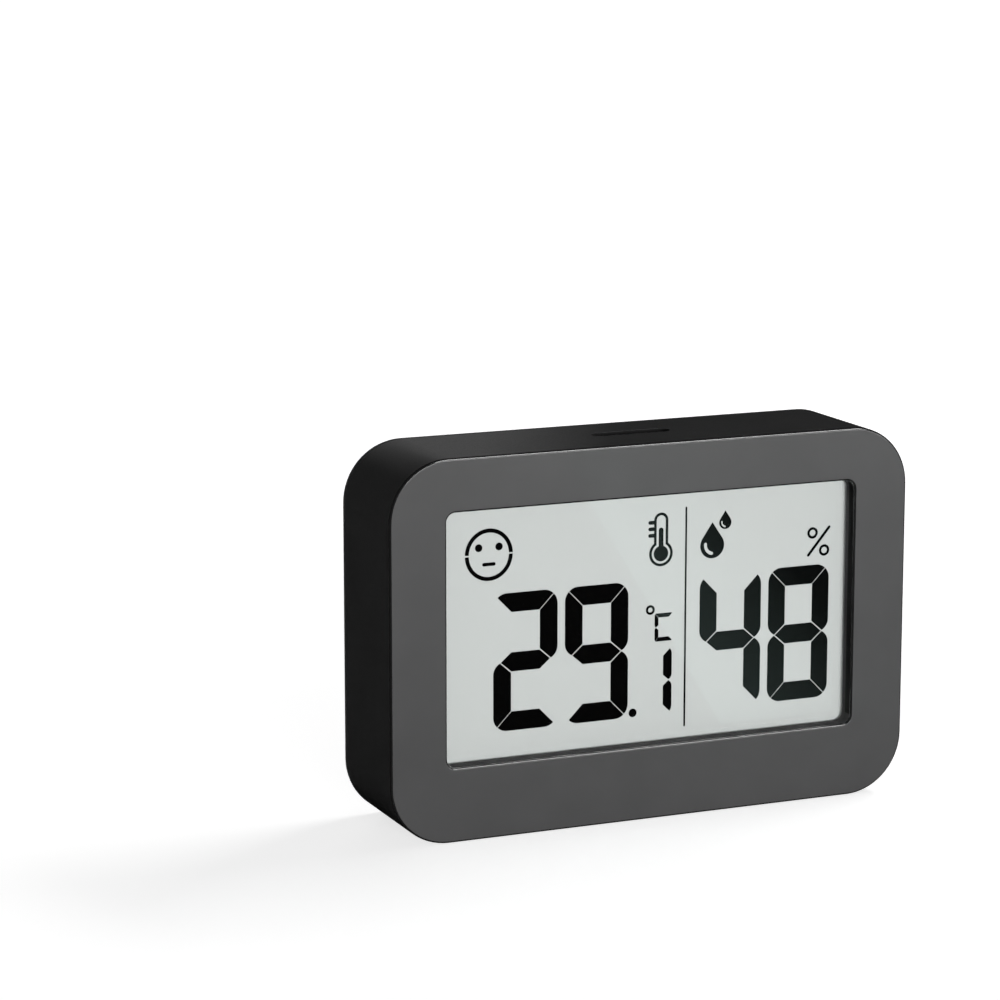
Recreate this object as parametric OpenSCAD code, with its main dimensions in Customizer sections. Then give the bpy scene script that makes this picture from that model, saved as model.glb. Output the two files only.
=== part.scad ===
// Mini temperature and humidity display: a two-piece case with a segment display behind a
// bonded window, a coin cell under a twist-lock door, a fold-out stand and a unit button.
// Frame: +Z up, the front faces -Y, origin at the middle of the base. Millimetres.

/* [Case] */
// Width of the case
case_w = 60; // [59.5:0.1:66]
// Height of the case
case_h = 40.7; // [40.4:0.1:46]
// Depth of the case, front to back
case_d = 13.9; // [13.5:0.1:17]
// Outer corner radius, seen from the front
corner_r = 6.5; // [6:0.1:7.5]
// Side wall thickness of the front shell
wall_t = 1.6; // [1.3:0.05:1.7]
// Front wall thickness
front_t = 1.2; // [0.9:0.05:1.5]
// Rounding of the front edge and of the window's edge
edge_r = 0.25; // [0.15:0.05:0.45]
// Depth of the rear cover's visible rim
rim_t = 1.1; // [0.9:0.05:1.3]
// Rounding of the rear edge
rear_edge_r = 0.6; // [0.3:0.05:0.8]
// Thickness of the rear cover's plate
plate_t = 1.5; // [1.4:0.05:1.8]
// Height of the rear cover's locating lips
lip_h = 1.1; // [0.6:0.1:1.6]
// Thickness of the locating lips and of other thin walls
thin_t = 0.9; // [0.7:0.05:1]
// Gap between parts that only have to drop in
drop_gap = 0.1; // [0.05:0.01:0.15]
// Width and depth of the parting groove between the shell and the cover
seam_w = 0.2; // [0.1:0.05:0.25]
// Bevel along the rims of the door, the button and the screw heads
bevel = 0.25; // [0.1:0.05:0.3]

/* [Vent] */
// Length of the vent slot in the top face
vent_l = 9.1; // [7:0.1:12]
// Width of the vent slot
vent_w = 2; // [1.4:0.1:2.6]
// Place of the slot along the width, from the middle
vent_x = 0.3; // [-1:0.1:1]
// Place of the slot along the depth, from the middle
vent_y = 0.1; // [-0.4:0.1:0.6]

/* [Window and display] */
// Width of the frame beside the window
border_side = 6.3; // [6:0.1:8]
// Width of the frame above the window
border_top = 5.7; // [5.5:0.1:7]
// Width of the frame below the window
border_bottom = 8; // [7.8:0.1:9]
// Corner radius of the window opening
window_r = 1; // [0.6:0.1:1.4]
// How far the window pane and the glass reach past the opening
glass_margin = 0.7; // [0.6:0.05:0.8]
// Height of the pane's seat behind the front wall
seat_h = 0.65; // [0.5:0.05:0.8]
// Thickness of the bonding frame
bond_t = 0.15; // [0.1:0.05:0.25]
// Thickness of the window pane
lens_t = 0.5; // [0.4:0.05:0.8]
// Air gap between the window pane and the display
lens_gap = 0.1; // [0.05:0.05:0.2]
// Thickness of the front polariser
polariser_t = 0.2; // [0.15:0.05:0.3]
// Thickness of each glass
glass_t = 0.7; // [0.55:0.05:0.8]
// Thickness of the rear reflector film
reflector_t = 0.25; // [0.2:0.05:0.35]
// Height of the contact ledge below the rear glass
ledge_h = 1.5; // [1.3:0.1:1.6]
// Thickness of the rib around the glass
rib_t = 0.7; // [0.5:0.05:0.8]
// Inset of the conductive rubber strip from the glass's ends
zebra_inset = 2.4; // [1:0.1:4]
// Height of the foam strip behind the display
foam_h = 1.5; // [1:0.1:2]

/* [Circuit board] */
// Gap between the board and the battery well
board_clear = 0.2; // [0.1:0.05:0.4]
// Thickness of the board
board_t = 1; // [0.8:0.1:1.2]
// Inset of the board screws from the side faces
board_hole_side = 3.3; // [3.2:0.05:3.4]
// Inset of the board screws from the board's upper and lower edges
board_hole_end = 5.5; // [5:0.1:7]
// Radius of the board's screw posts
board_post_r = 1.3; // [1.2:0.05:1.4]
// Width of the sensor's tongue at the top of the board
tongue_w = 10; // [8:0.5:12]
// Width of the slots that part the sensor from the board's heat
relief_w = 1; // [0.8:0.1:1.2]
// Length of those slots
relief_l = 2.4; // [2:0.1:2.8]
// Side of the square sensor
sensor_w = 2.5; // [2:0.1:3]
// Height of the sensor
sensor_t = 0.9; // [0.7:0.1:1.1]
// Radius of the controller's resin drop
blob_r = 4.5; // [3.5:0.1:5]
// Height of the resin drop
blob_h = 1.1; // [0.8:0.1:1.4]
// Radius of the crystal's can
crystal_r = 1; // [0.8:0.05:1.2]
// Length of the crystal's can
crystal_l = 6; // [5:0.1:6.5]
// Number of chip components in the row
chip_count = 6; // [4:1:8]
// Length of a chip component
chip_l = 1.6; // [1:0.1:2]
// Pitch of the chip components
chip_pitch = 2.6; // [2.2:0.1:2.8]
// Inset of the controller from the board's end
controller_inset = 7.6; // [7:0.1:9]

/* [Screws] */
// Radius of a screw's shank
screw_r = 0.75; // [0.65:0.01:0.8]
// Radius of a screw's head
head_r = 1.3; // [1.2:0.05:1.4]
// Height of a screw's head
head_h = 0.8; // [0.6:0.05:0.9]
// Length of the cross recess in a screw's head
recess_l = 1.8; // [1.4:0.1:2]
// Width of the cross recess
recess_w = 0.45; // [0.3:0.05:0.6]
// Depth of the cross recess
recess_h = 0.5; // [0.3:0.05:0.55]
// Play around a screw's shank
screw_play = 0.05; // [0.02:0.01:0.08]
// Length of a case screw's shank
case_screw_l = 6; // [4:0.5:8]
// Length of a board screw's shank
board_screw_l = 4; // [3:0.1:4.5]
// Room left in front of a screw's tip
tip_gap = 0.3; // [0.1:0.05:0.5]
// Inset of the case screws from the outer faces
screw_inset = 3.9; // [3.8:0.05:4]
// Radius of the case screw posts
post_r = 1.7; // [1.5:0.05:1.75]

/* [Battery and door] */
// Radius of the coin cell
cell_r = 10; // [9.8:0.05:10.1]
// Thickness of the coin cell
cell_t = 3.2; // [2.8:0.1:3.3]
// Radius of the cell's negative cap
cap_r = 8.8; // [8:0.1:9]
// Height of the cap's step
cap_h = 0.4; // [0.3:0.05:0.6]
// Bevel of the cell's rim
cell_bevel = 0.3; // [0.2:0.05:0.5]
// Play around the cell
cell_play = 0.25; // [0.2:0.05:0.35]
// Height left for the negative spring leaf
leaf_h = 0.6; // [0.5:0.05:0.7]
// Length of the leaf's flat base, and of its raised tongue
leaf_l = 5; // [4:0.1:6]
// Thickness of the contact strips
strip_t = 0.2; // [0.15:0.05:0.25]
// Width of the contact strips
strip_w = 4; // [3:0.1:5]
// How far the door's neck reaches past the cell
door_margin = 1; // [0.9:0.05:1.2]
// Thickness of the door
door_t = 1.3; // [1.1:0.05:1.4]
// Thickness of the door's rim
flange_t = 0.6; // [0.5:0.05:0.7]
// How far the rim covers the notches that let the lugs in
flange_lap = 0.35; // [0.2:0.05:0.5]
// How far the door and the stand lie below the rear face
flush_gap = 0.1; // [0.05:0.05:0.2]
// Play around the turning door
door_play = 0.15; // [0.1:0.01:0.2]
// Reach of the bayonet lugs
lug_reach = 1; // [0.8:0.05:1.1]
// Thickness of the bayonet lugs
lug_t = 0.8; // [0.6:0.05:0.9]
// Width of a bayonet lug in degrees
lug_angle = 26; // [20:1:30]
// Turn of the door from locked to free in degrees
door_turn = 40; // [36:1:42]
// Length of the coin slot
coin_slot_l = 15; // [12:0.5:18]
// Width of the coin slot
coin_slot_w = 1.9; // [1.6:0.1:2.4]
// Depth of the coin slot
coin_slot_h = 0.7; // [0.5:0.05:0.8]

/* [Stand] */
// Inset of the stand from the side faces
stand_inset = 11.8; // [11.5:0.1:12.1]
// Width of the stand's legs and of its foot bar
stand_bar = 3; // [2.6:0.1:3.2]
// Thickness of the stand
stand_t = 2; // [1.8:0.05:2.1]
// Height of the foot bar's lower edge above the base
stand_z = 2.9; // [2.9:0.1:4]
// Distance of the stand's pivot below the top face
pivot_drop = 10.2; // [9.7:0.1:12]
// Outer corner radius of the stand
stand_r = 4.5; // [4:0.1:6]
// Rounding along the stand's outside
stand_edge_r = 0.4; // [0.2:0.05:0.6]
// Largest opening angle in degrees
stand_open = 55; // [50:1:60]
// Radius of the stand's pivot pins
pin_r = 0.8; // [0.6:0.05:0.85]
// Length of the pivot pins
pin_l = 1.2; // [0.9:0.05:1.5]
// Running play around the pins
pin_play = 0.05; // [0.03:0.01:0.08]
// Gap around the folded stand
stand_gap = 0.25; // [0.2:0.05:0.3]
// Radius of the fingernail scoop below the foot bar
scoop_r = 2; // [1.8:0.1:2.2]
// Length of the scoop
scoop_l = 12; // [8:0.5:16]
// Depth of the scoop
scoop_h = 1.1; // [0.9:0.05:1.2]

/* [Unit button] */
// Distance of the button from the side face
button_inset = 7; // [6.7:0.05:7.1]
// Radius of the button's cap
button_r = 2.2; // [1.8:0.05:2.3]
// Play around the button's cap
button_play = 0.1; // [0.08:0.01:0.12]
// How far the button's face lies below the rear face
button_recess = 0.3; // [0.2:0.05:0.5]
// Reach of the button's retaining collar
collar_reach = 0.6; // [0.4:0.05:0.7]
// Thickness of the collar
collar_t = 0.4; // [0.3:0.05:0.45]
// Side of the square switch
switch_w = 6; // [5:0.1:6.2]
// Height of the switch housing
switch_h = 3.5; // [3.2:0.1:3.6]
// Width of the switch's legs, and how far they stand out
leg_w = 0.7; // [0.5:0.05:0.9]
// Spacing of the switch's legs
leg_pitch = 4.5; // [3.5:0.1:4.6]
// How deep the plunger sits in the housing
plunger_seat = 0.4; // [0.3:0.05:0.6]
// Height of the switch with its plunger
switch_total_h = 4.3; // [4:0.05:4.5]
// Radius of the plunger
plunger_r = 1.75; // [1.5:0.05:1.9]
// Travel of the button
button_travel = 0.25; // [0.2:0.01:0.3]

/* [Magnets] */
// Radius of a magnet
magnet_r = 3; // [2.5:0.05:3.1]
// Thickness of a magnet
magnet_t = 2; // [1.5:0.1:2.5]
// Distance of the magnets from the side faces
magnet_inset = 6.6; // [6.5:0.05:6.7]
// Distance of the magnets below the top face
magnet_drop = 11.2; // [10.7:0.1:12]

/* [Hidden] */
$fn = 96;
eps = 0.01;

// Gap between faces that meet but slide over each other
touch_gap = 0.05;

// How far a rounded edge reaches into the body that carries it
edge_lap = 0.05;

// Depths of the stack, front to back
y_front = -case_d / 2;
y_wall = y_front + front_t;
y_seat = y_wall + seat_h;
y_lens = y_seat + bond_t;
y_polariser = y_lens + lens_t + lens_gap;
y_glass = y_polariser + polariser_t;
y_seal = y_glass + glass_t;
y_film = y_seal + glass_t;
y_display_back = y_film + reflector_t;
y_rear = case_d / 2;
y_seam = y_rear - rim_t;
y_plate = y_rear - plate_t;

// Battery well, around the middle of the case
y_door_face = y_rear - flush_gap;
y_door_in = y_door_face - door_t;
y_cell_back = y_door_in - touch_gap;
y_cell_front = y_cell_back - cell_t;
y_well = y_cell_front - leaf_h;
well_r = cell_r + cell_play;
door_r = cell_r + door_margin;
y_lug_back = y_plate - touch_gap;
y_lug_front = y_lug_back - lug_t;
y_skirt = y_lug_front - touch_gap;
y_pocket = y_skirt - drop_gap;
opening_r = door_r + door_play;
lug_r = door_r + lug_reach;
notch_r = lug_r + door_play;
pocket_r = notch_r + door_play;
flange_r = notch_r + flange_lap;
y_flange = y_door_face - flange_t;
y_flange_seat = y_flange - touch_gap;
skirt_r = door_r - thin_t / 2;
lug_count = 3;
angle_play = 1.5;
function lug_at(i) = 90 + i * 360 / lug_count;

// Board, held off the floor of the well
y_board_back = y_well - thin_t - board_clear;
y_board = y_board_back - board_t;

// Inside of the front shell
inner_w = case_w - 2 * wall_t;
inner_h = case_h - 2 * wall_t;
inner_r = corner_r - wall_t;
mid_z = case_h / 2;

// Window, its pane and the glass
window_w = case_w - 2 * border_side;
window_h = case_h - border_top - border_bottom;
window_z = border_bottom;
window_mid_z = window_z + window_h / 2;
pane_w = window_w + 2 * glass_margin;
pane_h = window_h + 2 * glass_margin;
pane_r = window_r + glass_margin / 2;
glass_z = window_z - glass_margin;
glass_top = window_z + window_h + glass_margin;
zebra_l = pane_w - 2 * zebra_inset;

// Board: between the case posts, with a tab that reaches the contact ledge
board_w = inner_w - 6 * drop_gap;
board_bottom = screw_inset + post_r + 2 * drop_gap;
board_top = case_h - board_bottom;
tongue_top = case_h - wall_t - thin_t;
controller_x = board_w / 2 - controller_inset;
crystal_z = mid_z + blob_r + 2 * crystal_r;
chip_z = board_bottom + chip_l;
chip_x = -controller_x + chip_pitch;

// Screw places: case posts in the corners, board posts at the sides
case_screw_x = case_w / 2 - screw_inset;
case_screw_z = case_h / 2 - screw_inset;
board_screw_x = case_w / 2 - board_hole_side;
board_screw_z = (board_top - board_bottom) / 2 - board_hole_end;
counterbore_h = head_h + flush_gap;
y_case_tip = y_rear - counterbore_h - case_screw_l;
y_board_tip = y_board_back - board_screw_l;

// Stand and its trough
stand_w = case_w - 2 * stand_inset;
stand_pivot_z = case_h - pivot_drop;
y_stand_back = y_rear - flush_gap;
y_stand_front = y_stand_back - stand_t;
y_pivot = y_stand_back - stand_t / 2;
y_trough = y_stand_front - 2 * flush_gap;
pivot_depth = y_pivot - y_trough;
heel_l = (pivot_depth - touch_gap) / sin(stand_open);
heel_sweep = sqrt(heel_l * heel_l + stand_t * stand_t / 4);
trough_top = stand_pivot_z + heel_sweep + stand_gap;

// Magnets
magnet_x = case_w / 2 - magnet_inset;
magnet_z = case_h - magnet_drop;

// Button and switch
button_x = case_w / 2 - button_inset;
y_switch_top = y_board_back + switch_h;
y_plunger_top = y_board_back + switch_total_h;
y_button_face = y_rear - button_recess;
y_collar_back = y_plate - touch_gap;
y_collar_front = y_collar_back - collar_t;
plunger_room = button_travel + tip_gap;
collar_r = button_r + collar_reach;

case_black = [0.13, 0.13, 0.14];
steel = [0.75, 0.76, 0.78];

// Shapes that repeat

// Rounded rectangle around the origin
module rrect(w, h, r) {
    square([w - 2 * r, h], center = true);
    square([w, h - 2 * r], center = true);
    for (sx = [-1, 1], sz = [-1, 1])
        translate([sx * (w / 2 - r), sz * (h / 2 - r)]) circle(r);
}

// Extrudes an outline drawn in X and Z between two depths
module slab(y0, y1) {
    translate([0, y1, 0]) rotate([90, 0, 0]) linear_extrude(y1 - y0) children();
}

// Stands a shape drawn around +Z on a depth, pointing to the rear
module rearward(x, y, z) {
    translate([x, y, z]) rotate([-90, 0, 0]) children();
}

// Quarter of a disc, grown by a lap along its two straight sides
module quarter(r, lap) {
    difference() {
        translate([-lap, -lap]) square(r + lap);
        difference() {
            square(2 * r);
            circle(r);
        }
    }
}

// Ring of quarter rounds along a rounded rectangle; rim 1 rounds an outer edge, -1 a hole's edge
module edge_ring(w, h, r, e, rim, lap = 0) {
    for (q = [0:3]) {
        along = (q % 2 == 0) ? h - 2 * r : w - 2 * r;
        side = (q % 2 == 0) ? w / 2 : h / 2;
        cx = (q == 0 || q == 3) ? w / 2 - r : r - w / 2;
        cy = (q < 2) ? h / 2 - r : r - h / 2;
        translate([cx, cy, 0]) rotate([0, 0, 90 * q]) rotate_extrude(angle = 90)
            translate([r - rim * e, 0]) scale([rim, 1]) quarter(e, lap);
        rotate([0, 0, 90 * q]) translate([side - rim * e, along / 2, 0]) rotate([90, 0, 0])
            linear_extrude(along) scale([rim, 1]) quarter(e, lap);
    }
}

// Places a shape at the four case screws
module at_case_screws(y) {
    for (sx = [-1, 1], sz = [-1, 1])
        rearward(sx * case_screw_x, y, mid_z + sz * case_screw_z) children();
}

// Places a shape at the four board screws
module at_board_screws(y) {
    for (sx = [-1, 1], sz = [-1, 1])
        rearward(sx * board_screw_x, y, mid_z + sz * board_screw_z) children();
}

// Screw along +Z with its head's seat at the origin and a cross recess
module screw(l) {
    difference() {
        union() {
            cylinder(r = head_r, h = head_h - bevel);
            translate([0, 0, head_h - bevel]) cylinder(r1 = head_r, r2 = head_r - bevel, h = bevel);
            translate([0, 0, -l]) cylinder(r = screw_r, h = l + eps);
        }
        for (a = [0, 90])
            rotate([0, 0, a]) translate([-recess_l / 2, -recess_w / 2, head_h - recess_h])
                cube([recess_l, recess_w, head_h]);
    }
}

// Height of the closed outlines from which the U of the stand is cut
function stand_reach(top) = 2 * (top - stand_z + stand_r);

// U-shaped outline of the stand, grown by a gap and cut off at a height
module stand_outline(gap, top) {
    reach = stand_reach(top);
    outer_w = stand_w + 2 * gap;
    clear_w = stand_w - 2 * stand_bar - 2 * gap;
    clear_r = gap > 0 ? (stand_r - stand_bar) / (1 + gap) : stand_r - stand_bar - gap;
    intersection() {
        translate([-outer_w / 2, stand_z - gap]) square([outer_w, top - stand_z + gap]);
        difference() {
            translate([0, stand_z - gap + reach / 2]) rrect(outer_w, reach, stand_r + gap);
            translate([0, stand_z + stand_bar + gap + reach / 2]) rrect(clear_w, reach, clear_r);
        }
    }
}

// Slot outline with round ends
module stadium(l, w) {
    square([l - w, w], center = true);
    for (s = [-1, 1])
        translate([s * (l - w) / 2, 0]) circle(w / 2);
}

// Sector of a ring around +Z, centred on the angle a
module ring_sector(r0, r1, h, a, width) {
    rotate([0, 0, a - width / 2]) rotate_extrude(angle = width)
        translate([r0, 0]) square([r1 - r0, h]);
}

// Pieces of the case

module front_shell() {
    pilot_r = screw_r + screw_play;
    web_h = y_board - y_wall + eps;
    pocket_h = glass_top - glass_z + ledge_h;
    pocket_mid_z = glass_top - pocket_h / 2;
    pocket_size = [pane_w + 2 * drop_gap, pocket_h + 2 * drop_gap];
    color(case_black) difference() {
        union() {
            difference() {
                union() {
                    slab(y_front + edge_r, y_seam) translate([0, mid_z]) rrect(case_w, case_h, corner_r);
                    slab(y_front, y_front + edge_r) translate([0, mid_z])
                        rrect(case_w - 2 * edge_r, case_h - 2 * edge_r, corner_r - edge_r);
                    translate([0, y_front + edge_r, mid_z]) rotate([90, 0, 0])
                        edge_ring(case_w, case_h, corner_r, edge_r, 1);
                }
                difference() {
                    slab(y_wall, y_seam + eps) translate([0, mid_z]) rrect(inner_w, inner_h, inner_r);
                    // Seat of the window pane
                    slab(y_wall - eps, y_seat) translate([0, pocket_mid_z])
                        rrect(pocket_size.x + 2 * rib_t, pocket_size.y + 2 * rib_t, rib_t);
                }
                slab(y_front - eps, y_seat + eps) translate([0, window_mid_z])
                    rrect(window_w, window_h, window_r);
                slab(y_front - eps, y_front + edge_r) translate([0, window_mid_z])
                    rrect(window_w + 2 * edge_r, window_h + 2 * edge_r, window_r + edge_r);
            }
            translate([0, y_front + edge_r, window_mid_z]) rotate([90, 0, 0])
                edge_ring(window_w, window_h, window_r, edge_r, -1);
            // Rib that locates the window pane and the glass
            slab(y_wall - eps, y_film) translate([0, pocket_mid_z]) difference() {
                rrect(pocket_size.x + 2 * rib_t, pocket_size.y + 2 * rib_t, rib_t);
                square(pocket_size, center = true);
            }
            // Screw posts, kept inside the outer skin and out of the glass pocket
            intersection() {
                slab(y_wall - eps, y_plate) difference() {
                    translate([0, mid_z]) rrect(case_w - wall_t, case_h - wall_t, corner_r - wall_t / 2);
                    translate([0, pocket_mid_z]) square(pocket_size, center = true);
                }
                union() {
                    at_case_screws(y_wall - eps) cylinder(r = post_r, h = y_plate - y_wall + eps);
                    at_board_screws(y_wall - eps) cylinder(r = board_post_r, h = web_h);
                    // Webs that tie the board posts to the side walls
                    for (m = [0, 1], sz = [-1, 1])
                        mirror([m, 0, 0]) translate([board_screw_x, y_wall - eps, mid_z])
                            translate([0, 0, sz * board_screw_z - thin_t / 2])
                                cube([case_w / 2 - board_screw_x, web_h, thin_t]);
                }
            }
        }
        at_case_screws(y_case_tip - tip_gap)
            cylinder(r = pilot_r, h = y_plate - y_case_tip + tip_gap + eps);
        at_board_screws(y_board_tip - tip_gap)
            cylinder(r = pilot_r, h = y_board - y_board_tip + tip_gap + eps);
        translate([vent_x, vent_y, case_h - wall_t - eps]) linear_extrude(wall_t + 2 * eps)
            stadium(vent_l, vent_w);
    }
}

module rear_cover() {
    trough_w = stand_w + 2 * stand_gap;
    block_l = pin_l + thin_t;
    lip_y = y_plate - lip_h;
    lip_run_w = 2 * (case_screw_x - post_r - thin_t);
    lip_run_h = 2 * (case_screw_z - post_r - thin_t);
    color(case_black) difference() {
        union() {
            slab(y_seam, y_seam + seam_w) translate([0, mid_z])
                rrect(case_w - 2 * seam_w, case_h - 2 * seam_w, corner_r - seam_w);
            slab(y_seam + seam_w, y_rear - rear_edge_r) translate([0, mid_z])
                rrect(case_w, case_h, corner_r);
            slab(y_rear - rear_edge_r, y_rear) translate([0, mid_z])
                rrect(case_w - 2 * rear_edge_r, case_h - 2 * rear_edge_r, corner_r - rear_edge_r);
            translate([0, y_rear - rear_edge_r, mid_z]) rotate([-90, 0, 0])
                edge_ring(case_w, case_h, corner_r, rear_edge_r, 1);
            // Step that fills the shell's mouth
            slab(y_plate, y_seam) translate([0, mid_z])
                rrect(inner_w - 2 * drop_gap, inner_h - 2 * drop_gap, inner_r - drop_gap);
            // Locating lips along the four sides
            slab(lip_y, y_plate) translate([0, mid_z]) {
                for (s = [-1, 1]) {
                    translate([s * (inner_w / 2 - drop_gap - thin_t / 2), 0])
                        square([thin_t, lip_run_h], center = true);
                    translate([0, s * (inner_h / 2 - drop_gap - thin_t / 2)])
                        square([lip_run_w, thin_t], center = true);
                }
            }
            // Shell of the stand's trough
            slab(y_trough - thin_t, y_plate) stand_outline(stand_gap + thin_t, trough_top + thin_t);
            // Blocks that carry the pivot pins
            for (s = [-1, 1])
                translate([s * (trough_w + block_l) / 2, (y_trough + y_plate) / 2, stand_pivot_z])
                    cube([block_l, y_plate - y_trough, 4 * pin_r], center = true);
            // Battery well
            rearward(0, y_well - thin_t, mid_z)
                cylinder(r = well_r + thin_t, h = y_plate - y_well + thin_t);
            rearward(0, y_pocket - thin_t, mid_z)
                cylinder(r = pocket_r + thin_t, h = y_plate - y_pocket + thin_t);
            // Rings that hold the magnets
            for (s = [-1, 1])
                rearward(s * magnet_x, y_plate - magnet_t, magnet_z)
                    cylinder(r = magnet_r + drop_gap + rib_t, h = magnet_t);
        }
        slab(y_trough, y_rear + eps) stand_outline(stand_gap, trough_top);
        for (s = [-1, 1])
            translate([s * (stand_w / 2 + pin_l / 2), y_pivot, stand_pivot_z]) rotate([0, 90, 0])
                cylinder(r = pin_r + pin_play, h = pin_l + 2 * drop_gap, center = true);
        // Scoop for a fingernail below the stand's foot bar
        translate([0, y_rear + scoop_r - scoop_h, stand_z]) rotate([0, 90, 0])
            cylinder(r = scoop_r, h = scoop_l, center = true);
        rearward(0, y_well, mid_z) cylinder(r = well_r, h = y_rear - y_well);
        rearward(0, y_pocket, mid_z) cylinder(r = opening_r, h = y_rear - y_pocket + eps);
        rearward(0, y_flange_seat, mid_z)
            cylinder(r = flange_r + door_play, h = y_rear - y_flange_seat + eps);
        for (i = [0:lug_count - 1]) {
            // Pocket in which a lug turns, and the notch that lets it in
            rearward(0, y_pocket - drop_gap, mid_z)
                ring_sector(door_r - thin_t, pocket_r, y_plate - y_pocket + drop_gap,
                    lug_at(i) + door_turn / 2, lug_angle + door_turn + 4 * angle_play);
            rearward(0, y_plate - eps, mid_z)
                ring_sector(door_r - thin_t, notch_r, plate_t + 2 * eps,
                    lug_at(i) + door_turn, lug_angle + 2 * angle_play);
        }
        // Slots for the two battery contacts
        translate([cell_r - strip_t, y_well - 2 * thin_t, mid_z - strip_w / 2 - drop_gap])
            cube([4 * strip_t, y_pocket - y_well + 3 * thin_t, strip_w + 2 * drop_gap]);
        translate([-cell_r + strip_t - drop_gap, y_well - 2 * thin_t, mid_z - strip_w / 2 - drop_gap])
            cube([strip_t + 2 * drop_gap, 3 * thin_t, strip_w + 2 * drop_gap]);
        for (s = [-1, 1])
            rearward(s * magnet_x, y_plate - magnet_t, magnet_z)
                cylinder(r = magnet_r + drop_gap, h = magnet_t);
        at_case_screws(y_plate - eps) cylinder(r = screw_r + screw_play, h = plate_t + 2 * eps);
        at_case_screws(y_rear - counterbore_h) cylinder(r = head_r + drop_gap, h = counterbore_h + eps);
        rearward(button_x, y_plate - eps, mid_z)
            cylinder(r = button_r + button_play, h = plate_t + 2 * eps);
    }
}

module case_screws() {
    color(steel) at_case_screws(y_rear - counterbore_h) screw(case_screw_l);
}

module magnets() {
    color(steel) for (s = [-1, 1])
        rearward(s * magnet_x, y_plate - magnet_t, magnet_z) cylinder(r = magnet_r, h = magnet_t);
}

// Window and display

module lens_adhesive() {
    color([0.1, 0.1, 0.1]) slab(y_seat, y_lens) translate([0, window_mid_z]) difference() {
        rrect(pane_w, pane_h, pane_r);
        rrect(window_w, window_h, window_r);
    }
}

module window_lens() {
    color([0.85, 0.9, 0.9, 0.3]) slab(y_lens, y_lens + lens_t) translate([0, window_mid_z])
        rrect(pane_w, pane_h, pane_r);
}

module lcd_front_polariser() {
    color([0.78, 0.8, 0.78]) slab(y_polariser, y_glass) translate([0, window_mid_z])
        square([pane_w - 2 * drop_gap, pane_h - 2 * drop_gap], center = true);
}

module lcd_front_glass() {
    color([0.8, 0.85, 0.85, 0.4]) slab(y_glass, y_seal)
        translate([-pane_w / 2, glass_z - ledge_h]) square([pane_w, pane_h + ledge_h]);
}

module lcd_rear_glass() {
    color([0.8, 0.85, 0.85, 0.4]) slab(y_seal, y_film) translate([0, window_mid_z])
        square([pane_w, pane_h], center = true);
}

module lcd_reflector() {
    color([0.8, 0.82, 0.8]) slab(y_film, y_display_back) translate([0, window_mid_z])
        square([pane_w - 2 * drop_gap, pane_h - 2 * drop_gap], center = true);
}

module zebra_strip() {
    color([0.85, 0.6, 0.65]) slab(y_seal, y_board)
        translate([-zebra_l / 2, glass_z - ledge_h + drop_gap]) square([zebra_l, ledge_h - 2 * drop_gap]);
}

module lcd_support_foam() {
    color([0.2, 0.2, 0.22]) slab(y_display_back, y_board)
        translate([-zebra_l / 2, board_top - foam_h - drop_gap]) square([zebra_l, foam_h]);
}

// Circuit board and what is soldered on it

module main_pcb() {
    tab_w = 2 * (case_screw_x - post_r - thin_t);
    color([0.08, 0.35, 0.2]) difference() {
        slab(y_board, y_board_back) {
            translate([-board_w / 2, board_bottom]) square([board_w, board_top - board_bottom]);
            translate([-tab_w / 2, glass_z - ledge_h - thin_t])
                square([tab_w, board_top - glass_z + ledge_h]);
            difference() {
                translate([vent_x - tongue_w / 2, board_top - tongue_w / 2])
                    square([tongue_w, tongue_top - board_top + tongue_w / 2]);
                for (s = [-1, 1])
                    translate([vent_x + s * (tongue_w / 2 - 1.5 * relief_w) - relief_w / 2, board_top])
                        square([relief_w, relief_l]);
            }
        }
        at_board_screws(y_board - eps) cylinder(r = screw_r + screw_play, h = board_t + 2 * eps);
    }
}

module sensor_chip() {
    color([0.15, 0.15, 0.15]) difference() {
        translate([vent_x - sensor_w / 2, y_board_back, tongue_top - sensor_w - drop_gap])
            cube([sensor_w, sensor_t, sensor_w]);
        // Port through which the air reaches the sensing film
        rearward(vent_x, y_board_back + sensor_t / 2, tongue_top - sensor_w / 2 - drop_gap)
            cylinder(r = sensor_w / 6, h = sensor_t);
    }
}

module controller_blob() {
    // Radius of the ball whose cap has the drop's radius and height
    ball_r = (blob_r * blob_r + blob_h * blob_h) / (2 * blob_h);
    color([0.05, 0.05, 0.05]) rearward(-controller_x, y_board_back, mid_z) intersection() {
        translate([0, 0, blob_h - ball_r]) rotate([90, 0, 0]) sphere(ball_r, $fn = 3 * $fn);
        cylinder(r = 2 * blob_r, h = 2 * blob_h);
    }
}

module crystal() {
    lead_r = crystal_r / 5;
    lead_l = crystal_r * 2;
    color(steel) translate([-controller_x - crystal_l / 2, y_board_back + crystal_r, crystal_z])
        rotate([0, 90, 0]) {
            cylinder(r = crystal_r, h = crystal_l);
            for (s = [-1, 1])
                translate([0, 2 * s * lead_r, -lead_l]) cylinder(r = lead_r, h = lead_l + eps);
        }
}

module chip_components() {
    chip_w = chip_l / 2;
    chip_t = chip_l / 3;
    color([0.6, 0.5, 0.4]) for (i = [0:chip_count - 1])
        translate([chip_x + (i - chip_count / 2) * chip_pitch, y_board_back, chip_z])
            cube([chip_w, chip_t, chip_l]);
}

module pcb_screws() {
    color(steel) at_board_screws(y_board_back) screw(board_screw_l);
}

// Unit button

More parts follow.
